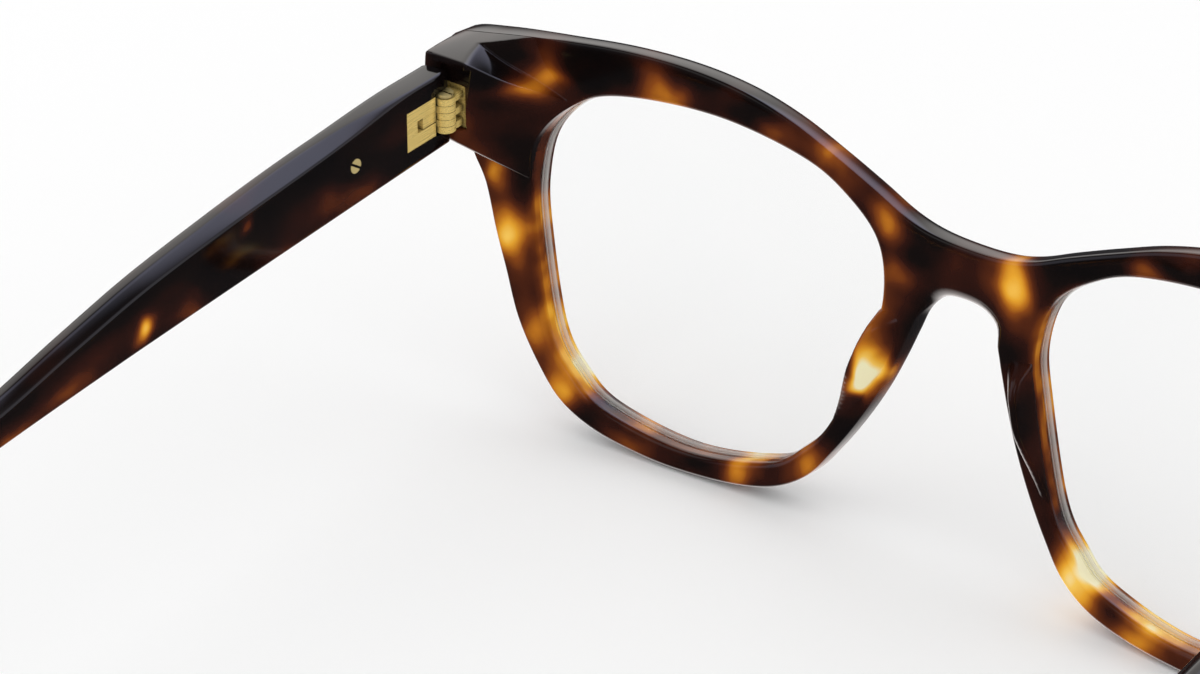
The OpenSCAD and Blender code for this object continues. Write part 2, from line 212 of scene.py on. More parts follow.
# Tortoiseshell pattern, in mm: each spot is its place on two axes (x and z on the front, y and z on
# a temple), its radius along each, and its weight. Honey spots have a positive weight and dark ones
# a negative one. A spot goes right through the plate, as it does in cut sheet. Two front spots on
# the left nose pad are not pattern but a painted glow of light coming through the pad.
FRONT_SPOTS = (
    (60.3, 48.2, 2.2, 1.4, 0.62), (43, 49.5, 3.0, 1.5, 0.42), (28, 48.5, 2.8, 1.4, 0.5),
    (20, 47.5, 2.0, 1.6, 0.5), (66.5, 33, 1.6, 2.2, 0.65), (63.5, 25, 2.2, 3.0, 0.8),
    (58, 13, 2.4, 3.0, 0.5), (54, 6, 2.6, 2.6, 0.72), (11.5, 42, 2.0, 1.4, 0.4),
    (8.5, 36, 2.6, 1.8, 0.4), (-7, 40, 1.9, 2.8, 0.8), (-24, 47.5, 2.6, 1.4, 0.4),
    (28, 3, 1.6, 2.0, 0.5), (18, 8, 2.2, 2.0, 0.4), (-20, 5.5, 2.6, 3.0, 0.8),
    (44, 2.5, 3.0, 1.6, 0.3), (-31, 2, 4, 2, 0.6), (-46, 3, 4, 2.2, 0.45), (-57, 12, 3, 4, 0.7),
    (-64, 28, 2.4, 4, 0.6), (-58, 47, 4, 2, 0.5), (-42, 50, 3, 1.6, 0.35), (11, 30, 1.8, 2.4, 0.3),
    # The two narrow spots at x 9.9 and 10.9 are a painted glow of light coming through the left nose
    # pad
    (15, 20, 2.0, 2.6, 0.25), (9.9, 24.5, 0.9, 2.4, 0.9), (10.9, 21.5, 0.9, 2.2, 0.95),
    (-27, 49, 7, 1.3, -0.3), (63, 40, 4.5, 3.5, 0.2), (68, 42, 2.5, 2.5, 0.16),
    (61.5, 48.8, 3.2, 0.9, -0.35), (52, 50, 4, 1.2, -0.3), (35, 49, 3, 1.4, -0.2),
    (5, 43, 2.6, 1.6, -0.2), (-15, 45, 3, 1.6, -0.3), (36, 1, 3, 1.6, 0.12))
TEMPLE_SPOTS = (
    (18, 46, 3.0, 2.0, 0.14), (33, 41, 3.0, 1.8, 0.26), (27, 40, 2.4, 1.4, 0.22),
    (49, 45.5, 1.2, 0.9, 0.5), (42, 38, 3.0, 1.0, 0.2), (59, 38.3, 1.8, 1.4, 0.34),
    (67.5, 39.6, 1.6, 1.0, 0.85), (74, 41, 3, 1.2, 0.15), (82, 38, 3.6, 1.4, 0.3),
    (91, 36.5, 3, 1.2, 0.45), (101, 33, 3.4, 1.8, 0.6), (112, 27, 3.4, 2.4, 0.5),
    (122, 18, 3.2, 3, 0.7), (131, 7, 3, 3.4, 0.6), (37, 46, 4, 2, -0.15), (54, 42, 4, 2, -0.15))
SPOT_EDGE = -0.55
ACETATE_COLOURS = (
    (0.0, (0.003, 0.002, 0.002)), (0.12, (0.006, 0.003, 0.0025)), (0.26, (0.030, 0.007, 0.004)),
    (0.38, (0.095, 0.021, 0.006)), (0.50, (0.25, 0.062, 0.008)), (0.62, (0.56, 0.19, 0.013)),
    (0.74, (0.86, 0.40, 0.03)), (0.86, (1.0, 0.62, 0.11)), (1.0, (1.0, 0.93, 0.6)))


def spots(tree, place, entries, axes):
    """Sum of the soft round spots, on the two axes given."""
    split = add(tree, "ShaderNodeSeparateXYZ")
    tree.links.new(place, split.inputs[0])
    total = None
    for a, b, ra, rb, weight in entries:
        across = math_node(tree, "MULTIPLY_ADD", split.outputs[axes[0]], 1000 / ra, -a / ra)
        up = math_node(tree, "MULTIPLY_ADD", split.outputs[axes[1]], 1000 / rb, -b / rb)
        distance = math_node(tree, "ADD", math_node(tree, "MULTIPLY", across, across),
                             math_node(tree, "MULTIPLY", up, up))
        glow = math_node(tree, "EXPONENT", math_node(tree, "MULTIPLY", distance, SPOT_EDGE))
        total = (math_node(tree, "MULTIPLY", glow, weight) if total is None
                 else math_node(tree, "MULTIPLY_ADD", glow, weight, total))
    return total


def acetate(name, entries, axes, stretch, base):
    """Dark acetate with soft honey clouds, and a painted glow where light comes through it."""
    material, tree, shader = shader_tree(name)
    place = add(tree, "ShaderNodeTexCoord").outputs["Object"]
    # The spots' outlines wander by up to half of wander each way
    wander = 4 * MM
    bend = add(tree, "ShaderNodeTexNoise")
    bend.inputs["Scale"].default_value = 160
    bend.inputs["Detail"].default_value = 1
    tree.links.new(place, bend.inputs["Vector"])
    shift = add(tree, "ShaderNodeVectorMath", operation="MULTIPLY_ADD")
    tree.links.new(bend.outputs["Color"], shift.inputs[0])
    shift.inputs[1].default_value = (wander, wander, wander)
    tree.links.new(place, shift.inputs[2])
    centred = add(tree, "ShaderNodeVectorMath", operation="SUBTRACT")
    tree.links.new(shift.outputs[0], centred.inputs[0])
    centred.inputs[1].default_value = (wander / 2, wander / 2, wander / 2)
    scaled = add(tree, "ShaderNodeMapping")
    scaled.inputs["Scale"].default_value = stretch
    tree.links.new(place, scaled.inputs["Vector"])
    cloud = noise(tree, scaled.outputs[0], 120, 1.0, 0.4)
    streak = noise(tree, scaled.outputs[0], 420, 2.0, 0.5)
    value = math_node(tree, "ADD", spots(tree, centred.outputs[0], entries, axes),
                      math_node(tree, "MULTIPLY_ADD", cloud, 1.05, base))
    value = math_node(tree, "MULTIPLY_ADD", streak, 0.1, value)
    # Painted glow: where the attribute marks light coming through the walls, streaky noise brightens
    # the colour
    painted_glow_and_frost = add(tree, "ShaderNodeAttribute", attribute_name="painted_glow_and_frost")
    lines = noise(tree, scaled.outputs[0], 260, 1.0, 0.5)
    glow = math_node(tree, "MULTIPLY_ADD", lines, 0.9, -0.12)
    clear = math_node(tree, "MULTIPLY", painted_glow_and_frost.outputs["Fac"], glow)
    value = math_node(tree, "ADD", clear, value)
    value = math_node(tree, "MULTIPLY", value, 0.75)
    colour = ramp(tree, value, ACETATE_COLOURS)
    tree.links.new(colour, shader.inputs["Base Color"])
    shader.inputs["Roughness"].default_value = 0.08
    shader.inputs["IOR"].default_value = 1.48
    return material


def metal(name, colour, roughness, metallic=1.0):
    """Metal with fine brushing along y, with painted shade in its crevices."""
    material, tree, shader = shader_tree(name)
    place = add(tree, "ShaderNodeTexCoord").outputs["Object"]
    stretch = add(tree, "ShaderNodeMapping")
    stretch.inputs["Scale"].default_value = (3500, 200, 3500)
    tree.links.new(place, stretch.inputs["Vector"])
    brushed = noise(tree, stretch.outputs[0], 1.0, 3, 0.6)
    shade = ramp(tree, brushed, ((0.3, tuple(c * 0.92 for c in colour)), (0.7, colour)))
    # Painted shade: an ambient occlusion node darkens the gaps and corners between the small hinge
    # parts
    painted_crevice_shade = add(tree, "ShaderNodeAmbientOcclusion")
    painted_crevice_shade.inputs["Distance"].default_value = 0.9 * MM
    painted_crevice_shade.samples = 8
    tree.links.new(shade, painted_crevice_shade.inputs["Color"])
    depth = math_node(tree, "POWER", painted_crevice_shade.outputs["AO"], 1.4)
    dark = add(tree, "ShaderNodeVectorMath", operation="SCALE")
    tree.links.new(shade, dark.inputs[0])
    tree.links.new(depth, dark.inputs["Scale"])
    tree.links.new(dark.outputs[0], shader.inputs["Base Color"])
    shader.inputs["Metallic"].default_value = metallic
    rough = math_node(tree, "MULTIPLY_ADD", brushed, 0.2, roughness - 0.1)
    tree.links.new(rough, shader.inputs["Roughness"])
    return material


def clear_lens():
    """Clear plastic that mirrors a little at a slant, with a frosted edge."""
    material = bpy.data.materials.new("clear_lens")
    material.use_nodes = True
    tree = material.node_tree
    tree.nodes.clear()
    clear = add(tree, "ShaderNodeBsdfTransparent")
    tint = ramp(tree, noise(tree, add(tree, "ShaderNodeTexCoord").outputs["Object"], 60, 1),
                ((0.3, (0.990, 0.992, 0.992)), (0.7, (0.994, 0.995, 0.995))))
    tree.links.new(tint, clear.inputs["Color"])
    shine = add(tree, "ShaderNodeBsdfGlossy")
    shine.inputs["Roughness"].default_value = 0.02
    facing = add(tree, "ShaderNodeLayerWeight").outputs["Facing"]
    share = math_node(tree, "MULTIPLY_ADD", math_node(tree, "POWER", facing, 4.0), 0.6, 0.012)
    mixed = add(tree, "ShaderNodeMixShader")
    tree.links.new(share, mixed.inputs[0])
    tree.links.new(clear.outputs[0], mixed.inputs[1])
    tree.links.new(shine.outputs[0], mixed.inputs[2])
    frost = add(tree, "ShaderNodeBsdfDiffuse")
    frost.inputs["Color"].default_value = (0.85, 0.83, 0.8, 1)
    edged = add(tree, "ShaderNodeMixShader")
    edge = add(tree, "ShaderNodeAttribute", attribute_name="painted_glow_and_frost").outputs["Fac"]
    tree.links.new(math_node(tree, "MULTIPLY", edge, 0.6), edged.inputs[0])
    tree.links.new(mixed.outputs[0], edged.inputs[1])
    tree.links.new(frost.outputs[0], edged.inputs[2])
    tree.links.new(edged.outputs[0], add(tree, "ShaderNodeOutputMaterial").inputs[0])
    return material


acetate_material = acetate("tortoiseshell_front", FRONT_SPOTS, (0, 2), (1.0, 0.6, 1.0), -0.32)
temple_material = acetate("tortoiseshell_temple", TEMPLE_SPOTS, (1, 2), (1.0, 0.45, 1.0), -0.48)
gold = metal("brushed_gold", (1.0, 0.74, 0.24), 0.28, 0.3)
bright_gold = metal("polished_gold", (1.0, 0.80, 0.36), 0.2, 0.5)
steel = metal("drawn_steel", (0.75, 0.75, 0.75), 0.25)
lens_material = clear_lens()

# ---------------------------------------------------------------- the front's own shape, in mm

# Lens centre from the middle, height of the front's middle, its thickness and its bend radius
LENS_CX, FRONT_Z, FRONT_T, BEND_R = 36.05, 25.5, 4.4, 485.0
TILT = math.radians(8)
# The end block's rear face, top and foot, and the foot of its hinge plate
BLOCK_Y, BLOCK_TOP, BLOCK_FOOT, HINGE_FOOT = 9.7, 50.85, 39.4, 41.63

# Outlines on the front, as (x, v). The opening and the rim are given from the lens centre.
OPENING = [(25.2, 7.0), (24.1, 13.8), (19.5, 19.2), (12.3, 21.7), (0, 22.6), (-11.8, 21.0),
           (-18.4, 18.2), (-23.6, 13.6), (-25.2, 6.8), (-23.8, 0), (-20.0, -11.7), (-16.4, -16.7),
           (-11.6, -20.3), (0, -22.7), (12.1, -21.0), (17.4, -17.5), (21.1, -12.2), (24.3, 0)]
NOSE_EDGE = [(0, 9.3), (3.2, 8.7), (5.5, 6.3)]
RIM_EDGE = [(-29.3, 2.9), (-27.9, -1.2), (-26.0, -6.0), (-23.4, -11.2), (-20.3, -16.3),
            (-17.2, -20.4), (-12.8, -23.3), (-6.6, -24.9), (1.0, -25.5), (7.0, -25.2), (13.4, -24.0),
            (18.4, -21.6), (22.0, -17.7), (25.6, -12.0), (28.0, -5.7), (29.8, -1.0), (32.0, 5.5),
            (35.0, 11.3), (37.3, 16.5), (38.4, 21.3), (37.2, 24.0), (32.0, 25.2), (23.0, 26.6),
            (14.0, 27.6), (5.0, 27.8), (-3.0, 27.0), (-10.0, 25.2), (-16.6, 22.6), (-22.2, 20.2)]
BRIDGE_EDGE = [(9.2, 18.1), (5.0, 17.0), (0, 16.7)]
# The block's outer side, as (v, x)
RIM_SIDE = [(5.5, 68.05), (11.3, 71.05), (16.5, 73.35), (21.3, 74.45), (22.8, 74.1), (24.0, 73.25)]


def shifted(points):
    """Points given from the left lens centre, moved to the front's middle."""
    return [(x + LENS_CX, v) for x, v in points]


def spline(a, b, c, d, t):
    """Catmull-Rom curve from b to c, with a before and d after them."""
    return 0.5 * (2 * b + (c - a) * t + (2 * a - 5 * b + 4 * c - d) * t ** 2
                  + (3 * b - a - 3 * c + d) * t ** 3)


def smooth_loop(points, step):
    """Closed smooth curve through the points, cut into equal lengths of about step."""
    p = np.array(points, float)
    t = (np.arange(24) / 24)[:, None]
    spans = []
    for i in range(len(p)):
        spans.append(spline(*(p[(i + k) % len(p)] for k in (-1, 0, 1, 2)), t))
    fine = np.concatenate(spans)
    closed = np.vstack([fine, fine[:1]])
    length = np.r_[0, np.cumsum(np.linalg.norm(np.diff(closed, axis=0), axis=1))]
    n = int(round(length[-1] / step))
    at = np.arange(n) * length[-1] / n
    return np.column_stack([np.interp(at, length, closed[:, k]) for k in (0, 1)])


def outward(loop):
    """Outward unit normals of an anticlockwise loop."""
    t = np.roll(loop, -1, axis=0) - np.roll(loop, 1, axis=0)
    t /= np.linalg.norm(t, axis=1)[:, None]
    return np.column_stack([t[:, 1], -t[:, 0]])


def along(table, x):
    """Value at x of a smooth curve through the table's (x, value) pairs."""
    xs, ys = zip(*table)
    i = int(np.clip(np.searchsorted(xs, x) - 1, 0, len(xs) - 2))
    t = min(1, max(0, (x - xs[i]) / (xs[i + 1] - xs[i])))
    return spline(ys[max(0, i - 1)], ys[i], ys[i + 1], ys[min(len(ys) - 1, i + 2)], t)


def on_front(x, depth, v):
    """Position in the frame, in mm, of a point given by x, depth behind the rear face and height v
    on the bent, leaning front."""
    x, depth, v = np.broadcast_arrays(np.asarray(x, float), depth, v)
    y = BEND_R - np.sqrt((BEND_R - depth) ** 2 - x ** 2)
    return np.stack([x, y * math.cos(TILT) - v * math.sin(TILT),
                     y * math.sin(TILT) + v * math.cos(TILT) + FRONT_Z], axis=-1)


def inside(points, loop):
    """Which points lie inside the closed loop."""
    x, y = points[:, 0][:, None], points[:, 1][:, None]
    a, b = loop, np.roll(loop, -1, axis=0)
    crosses = (a[:, 1] > y) != (b[:, 1] > y)
    with np.errstate(divide="ignore", invalid="ignore"):
        at = a[:, 0] + (y - a[:, 1]) / (b[:, 1] - a[:, 1]) * (b[:, 0] - a[:, 0])
    return (crosses & (x < at)).sum(1) % 2 == 1


def far_from(points, loop, gap):
    """Which points are more than gap from every point of the loop."""
    d = np.linalg.norm(points[:, None, :] - loop[None, :, :], axis=2).min(1)
    return d > gap


# ---------------------------------------------------------------- mesh helpers


def mesh_object(name, points_mm, faces, smooth_angle=30, material=None, painted_glow_and_frost=None):
    """A mesh from points in mm; the last argument gives, point by point, the painted glow where
    light comes through acetate, and the frost on a lens edge.
    """
    mesh = bpy.data.meshes.new(name)
    mesh.from_pydata([tuple(p * MM) for p in np.asarray(points_mm)], [], faces)
    mesh.attributes.new("painted_glow_and_frost", "FLOAT", "POINT")
    if painted_glow_and_frost is not None:
        mesh.attributes["painted_glow_and_frost"].data.foreach_set("value", np.asarray(painted_glow_and_frost, np.float32))
    mesh.validate()
    obj = bpy.data.objects.new(name, mesh)
    bpy.context.scene.collection.objects.link(obj)
    if material:
        mesh.materials.append(material)
    finish_normals(obj, smooth_angle)
    return obj


def finish_normals(obj, smooth_angle):
    """Outward faces, smooth except across edges sharper than smooth_angle."""
    bm = bmesh.new()
    bm.from_mesh(obj.data)
    bmesh.ops.remove_doubles(bm, verts=bm.verts, dist=0.000002)
    bmesh.ops.recalc_face_normals(bm, faces=bm.faces)
    limit = math.radians(smooth_angle)
    for face in bm.faces:
        face.smooth = True
    for edge in bm.edges:
        edge.smooth = len(edge.link_faces) == 2 and edge.calc_face_angle(0) < limit
    bm.to_mesh(obj.data)
    bm.free()


def apply_modifiers(obj):
    """Give the object the mesh that its modifiers make."""
    graph = bpy.context.evaluated_depsgraph_get()
    mesh = bpy.data.meshes.new_from_object(obj.evaluated_get(graph))
    obj.modifiers.clear()
    obj.data = mesh


def strip(faces, first, second, n):
    """Quads between two closed rings of n points each, given by their first index."""
    for j in range(n):
        faces.append((first + j, first + (j + 1) % n, second + (j + 1) % n, second + j))


def mirror_copy(obj, name):
    """The right-hand twin of a left-hand piece."""
    mesh = obj.data.copy()
    twin = bpy.data.objects.new(name, mesh)
    bpy.context.scene.collection.objects.link(twin)
    mesh.transform(Matrix.Scale(-1, 4, (1, 0, 0)))
    mesh.flip_normals()
    return twin


# ---------------------------------------------------------------- the front

# Spacing of points along an outline, and steps in a quarter round
STEP, ARC = 0.6, 5
opening_left = smooth_loop(shifted(OPENING), STEP)
half = NOSE_EDGE + shifted(RIM_EDGE) + BRIDGE_EDGE
outline = smooth_loop(half + [(-x, v) for x, v in half[-2:0:-1]], STEP)


def rear_radius(p):
    """Rounding of the front's rear outer edge, wide under the bridge and fine at the end blocks."""
    x, v = abs(p[0]), p[1]
    nose = np.clip((v - 5.4) / 2.6, 0, 1) * np.clip((12 - v) / 3, 0, 1) * np.clip((9 - x) / 3, 0, 1)
    block = max(np.clip((x - 66) / 3, 0, 1) * np.clip((v - 5) / 3, 0, 1),
                np.clip((x - 58) / 3, 0, 1) * np.clip((v - 20) / 2, 0, 1))
    return 0.6 + 2.4 * nose * nose * (3 - 2 * nose) - 0.5 * block


def front_radius(p):
    """Rounding of the front's outer edge: (across, depth), a long roll along the brow."""
    x, v = abs(p[0]), p[1]
    brow = np.clip((v - 10) / 5, 0, 1) * np.clip((70 - x) / 14, 0, 1)
    brow = brow * brow * (3 - 2 * brow)
    return 1.0 + 0.5 * brow, 1.1 + 1.2 * brow


def opening_radius(p):
    """Rounding of an opening's rear edge, fine where an end block stands on it."""
    x, v = abs(p[0]), p[1]
    block = np.clip((x - 54) / 3, 0, 1) * np.clip((v - 6) / 2, 0, 1)
    block *= np.clip((20.5 - v) / 1.5, 0, 1)
    return 0.85 - 0.8 * block


def rounded_side(loop, normal, rear_r, front_r, wall=()):
    """Rings from the rear face over a side wall to the front face, as (points, depth) pairs.
    front_r is (across, along the depth). wall adds (offset, depth) points between the roundings;
    offsets are into the material."""
    angles = [math.radians(90 / ARC * k) for k in range(ARC + 1)]
    rings = [(loop - normal * (rear_r * (1 - math.sin(a)))[:, None], -rear_r * (1 - math.cos(a)))
             for a in angles]
    for offset, depth in wall:
        rings.append((loop - normal * offset, np.full(len(loop), float(depth))))
    for a in angles:
        rings.append((loop - normal * (front_r[0] * (1 - math.cos(a)))[:, None],
                      -FRONT_T + front_r[1] * (1 - math.sin(a))))
    return rings


def fill(outer, holes, spacing):
    """Fill the flat region between loops: extra points in it, and triangles of all the points."""
    lo, hi = outer.min(0), outer.max(0)
    gx, gv = np.meshgrid(np.arange(lo[0], hi[0], spacing), np.arange(lo[1], hi[1], spacing * 0.87))
    gx[1::2] += spacing / 2
    grid = np.column_stack([gx.ravel(), gv.ravel()])
    keep = inside(grid, outer) & far_from(grid, outer, spacing * 0.6)
    for hole in holes:
        keep &= ~inside(grid, hole) & far_from(grid, hole, spacing * 0.6)
    grid = grid[keep]
    start, coords, edges = 0, [], []
    for loop in [outer] + holes:
        n = len(loop)
        coords += [tuple(p) for p in loop]
        edges += [(start + j, start + (j + 1) % n) for j in range(n)]
        start += n
    coords += [tuple(p) for p in grid]
    result = geometry.delaunay_2d_cdt([Vector(c) for c in coords], edges, [], 0, 1e-5)
    verts = np.array([tuple(v) for v in result[0]])
    origin = [src[0] if src else None for src in result[3]]
    assert None not in origin
    tris = np.array(result[2])
    mid = verts[tris].mean(1)
    ok = inside(mid, outer)
    for hole in holes:
        ok &= ~inside(mid, hole)
    return grid, [tuple(origin[i] for i in t) for t in tris[ok]]


def build_front():
    """The bent plate with its two grooved openings and rounded edges."""
    points, faces, painted_glow_and_frost = [], [], []
    count = 0
    rear_loops, front_loops = [], []
    opening_right = opening_left[::-1] * (-1, 1)
    plans = [(outline, outward(outline), np.array([rear_radius(p) for p in outline]),
              np.array([front_radius(p) for p in outline]).T, ())]
    groove = ((0, -1.0), (0, -1.85), (0.55, -2.6), (0.55, -2.95), (0, -3.65))
    for hole in (opening_left, opening_right):
        plans.append((hole, -outward(hole), np.array([opening_radius(p) for p in hole]),
                      np.full((2, len(hole)), 0.35), groove))
    for loop, normal, rear_r, front_r, wall in plans:
        rings = rounded_side(loop, normal, rear_r, front_r, wall)
        n = len(loop)
        for k, (ring, depth) in enumerate(rings):
            points.append(on_front(ring[:, 0], depth, ring[:, 1]))
            # Painted glow of light coming through the openings' walls, strongest along the groove
            painted_wall_glow = np.interp(k, (0, 3, 6, 13, 16), (0, 0.35, 1, 1, 0.5))
            painted_glow_and_frost.append(np.full(n, 0.0 if loop is outline else painted_wall_glow))
            if k:
                strip(faces, count + (k - 1) * n, count + k * n, n)
        rear_loops.append((rings[0][0], count))
        front_loops.append((rings[-1][0], count + (len(rings) - 1) * n))
        count += len(rings) * n
    for loops, depth in ((rear_loops, 0.0), (front_loops, -FRONT_T)):
        (outer, _), *holes = loops
        grid, tris = fill(outer, [hole for hole, _ in holes], 1.3)
        index = np.concatenate([np.arange(len(loop)) + first for loop, first in loops]
                               + [np.arange(len(grid)) + count])
        points.append(on_front(grid[:, 0], depth, grid[:, 1]))
        painted_glow_and_frost.append(np.zeros(len(grid)))
        faces += [tuple(int(index[i]) for i in t) for t in tris]
        count += len(grid)
    points = np.concatenate(points)
    points[:, 2] = np.maximum(points[:, 2], 0.0)
    return mesh_object("front", points, faces, 35, acetate_material, np.concatenate(painted_glow_and_frost))


# ---------------------------------------------------------------- nose pads

# The pad's height behind the rim along v, and the rim's nose side and lens side there
PAD_HEIGHT = [(-14.5, -0.6), (-12.5, 0.0), (-10.75, 0.5), (-8, 1.6), (-5, 3.1), (-2, 4.3),
              (1.3, 4.25), (2.8, 3.7), (3.8, 2.9), (4.6, 1.6), (5.3, 0.3), (6.0, -1.2)]
PAD_NOSE = [(-16.3, 15.75), (-11.2, 12.65), (-6, 10.05), (-1.2, 8.15), (2.9, 6.75), (6.3, 5.5),
            (8.7, 3.2)]
PAD_LENS = [(-16.7, 19.65), (-11.7, 16.05), (0, 12.25), (6.8, 10.85), (13.6, 12.45)]


def table(pairs, values):
    """The smooth curve through the pairs, at an array of values."""
    fine = np.linspace(pairs[0][0], pairs[-1][0], 400)
    return np.interp(values, fine, [along(pairs, f) for f in fine])


def pad_field(points):
    """Below zero inside the left nose pad."""
    x, depth, v = off_front(points)
    height, nose = table(PAD_HEIGHT, v), table(PAD_NOSE, v)
    inset, start, rear, width = 0.1, 1.6, 0.7, 4.2
    # The face against the nose starts inside the rim and rises to full height at four fifths across
    across = np.clip((x - nose - inset) / (table(PAD_LENS, v) - nose), 0, 1.2)
    rise = np.maximum(height, 0) + start
    face = depth + start - rise * (across / 0.8) ** 0.9
    face /= np.sqrt(1 + (rise / width) ** 2)
    lens_side = opening_field(x, v) + 0.1 * np.maximum(depth, 0)
    f = smooth_max(face, lens_side, 1.3)
    f = smooth_max(f, depth - height, 1.0)
    f = np.maximum(f, nose + inset - x)
    return np.maximum(f, -(depth + rear))


def build_pad():
    """The left nose pad, smoothed a little."""
    points, faces = surface_net(pad_field, (5.15, -2.39, 9.04), (20.5, 7.5, 33.5), 0.25)
    pad = mesh_object("nose_pad_left", points, faces, 60, acetate_material)
    smooth = pad.modifiers.new("smooth", "SMOOTH")
    smooth.iterations = 6
    apply_modifiers(pad)
    finish_normals(pad, 60)
    return pad


def loft(name, rings, material):
    """A closed piece through rings of equal numbers of points, with a flat face at each end."""
    points, n = np.concatenate(rings), len(rings[0])
    faces = []
    for k in range(len(rings) - 1):
        strip(faces, k * n, (k + 1) * n, n)
    faces.append(tuple(range(n)))
    faces.append(tuple(range(len(points) - n, len(points))))
    return mesh_object(name, points, faces, material=material)


# ---------------------------------------------------------------- end blocks


def smooth_max(a, b, k):
    """The larger of two fields, rounded over where they are within k of each other."""
    h = np.maximum(k - np.abs(a - b), 0) / k
    return np.maximum(a, b) + h * h * k / 4


def plane(points, p, q, r):
    """Distance of points above the plane through p, q and r, seen anticlockwise from outside."""
    p, q, r = (np.array(c, float) for c in (p, q, r))
    n = np.cross(q - p, r - p)
    return (points - p) @ (n / np.linalg.norm(n))


def off_front(points):
    """x, depth and v on the bent, leaning front, for points in the frame."""
    y, z = points[..., 1], points[..., 2] - FRONT_Z
    u = y * math.cos(TILT) + z * math.sin(TILT)
    v = -y * math.sin(TILT) + z * math.cos(TILT)
    x = points[..., 0]
    return x, BEND_R - np.sqrt((BEND_R - u) ** 2 + x ** 2), v


def box_field(points, low, high):
    """Below zero inside a box."""
    return np.maximum(np.array(low) - points, points - np.array(high)).max(-1)


def block_field(points):
    """Below zero inside the left end block."""
    x, depth, v = off_front(points)
    y, z = points[..., 1], points[..., 2]
    rear_in = (66.0, BLOCK_Y, BLOCK_TOP)
    foot_in, ridge = (67.6, BLOCK_Y, BLOCK_FOOT), (67.3, 4.2, 50.7)
    corner, brow = on_front(56.45, 0, 18.65), on_front(61.5, 0, 26.2)
    heel, foot_out = on_front(61.35, 0, 7.2), (70.6, 6.2, 36.9)
    # t runs from the front's rear face to the block's own, where the outer side is at x = side_x
    block_depth, side_x, sunk, skin = 8.6, 72.3, 0.45, 0.03
    t = np.clip(depth / block_depth, 0, 1)
    side = x - (np.interp(v, *zip(*RIM_SIDE)) * (1 - t) + side_x * t) + skin
    inner = smooth_max(plane(points, foot_in, heel, corner),
                       plane(points, foot_in, corner, rear_in), 0.8)
    # The scooped facet above the inner side: a plane, hollowed towards its middle
    middle = (np.array(rear_in) + corner + ridge) / 3
    hollow = 0.5 * np.exp(-((points - middle) ** 2).sum(-1) / 18)
    body = smooth_max(inner, plane(points, rear_in, corner, ridge) + hollow, 0.3)
    # The roll from the block down to the brow's rear face
    middle = (np.array(ridge) + corner + brow) / 3
    hollow = 0.55 * np.exp(-((points - middle) ** 2).sum(-1) / 20)
    roll = smooth_max(plane(points, ridge, corner, brow) + hollow, inner, 0.3)
    f = -smooth_max(-body, -roll, 0.16)
    f = smooth_max(f, smooth_max(y - BLOCK_Y, side, 0.3), 0.3)
    f = smooth_max(f, plane(points, heel, foot_in, foot_out), 0.35)
    # The top runs straight from the rear edge to the brow's own top edge
    front_top = on_front(x, 0, brow_height(x))[..., 2] - 0.05
    f = smooth_max(f, z - (front_top * (1 - t) + BLOCK_TOP * t), 0.35)
    # The block is sunk into the front, within the front's own outline
    f = smooth_max(f, -(depth + sunk), 0.4)
    f = np.maximum(f, np.where(depth < 0.02, v - brow_height(x) + skin, -1.0))
    f = smooth_max(f, opening_field(x, v), 0.2)
    # The hinge's recess, open to the inner side, and its pocket
    recess = box_field(points, (55, BLOCK_Y - 0.6, HINGE_FOOT + 0.8), (70.0, 20, 49.9))
    pocket = box_field(points, (66.7, 7.6, HINGE_FOOT - 0.5), (70.2, 20, 47.27))
    return smooth_max(smooth_max(f, -recess, 0.12), -pocket, 0.12)


def brow_height(x):
    """Height v of the front's upper edge at x, without its outer side."""
    top = outline[(outline[:, 1] > np.where(outline[:, 0] > 60, 23.9, 15)) & (outline[:, 0] > 0)]
    order = np.argsort(top[:, 0])
    return np.interp(x, top[order, 0], top[order, 1])


def distance_table(loop, step):
    """Grid of depths into a closed loop, with its x and v axes."""
    ax = np.arange(loop[:, 0].min() - 9, loop[:, 0].max() + 13, step)
    av = np.arange(loop[:, 1].min() - 5, loop[:, 1].max() + 9, step)
    p = np.stack(np.meshgrid(ax, av, indexing="ij"), axis=-1).reshape(-1, 2)
    span = np.roll(loop, -1, axis=0) - loop
    out = np.empty(len(p))
    for k in range(0, len(p), 20000):
        q = p[k:k + 20000]
        w = q[:, None, :] - loop[None]
        t = np.clip((w * span).sum(2) / (span ** 2).sum(1), 0, 1)
        d = np.linalg.norm(w - t[..., None] * span, axis=2).min(1)
        out[k:k + 20000] = np.where(inside(q, loop), d, -d)
    return ax, av, out.reshape(len(ax), len(av))


TABLE_STEP = 0.2
opening_x, opening_v, opening_depth = distance_table(opening_left, TABLE_STEP)


def opening_field(x, v):
    """Depth into the left lens opening, in its own plane."""
    a = np.clip((x - opening_x[0]) / TABLE_STEP, 0, len(opening_x) - 1.001)
    b = np.clip((v - opening_v[0]) / TABLE_STEP, 0, len(opening_v) - 1.001)
    i, j = a.astype(int), b.astype(int)
    a, b, d = a - i, b - j, opening_depth
    return ((d[i, j] * (1 - a) + d[i + 1, j] * a) * (1 - b)
            + (d[i, j + 1] * (1 - a) + d[i + 1, j + 1] * a) * b)


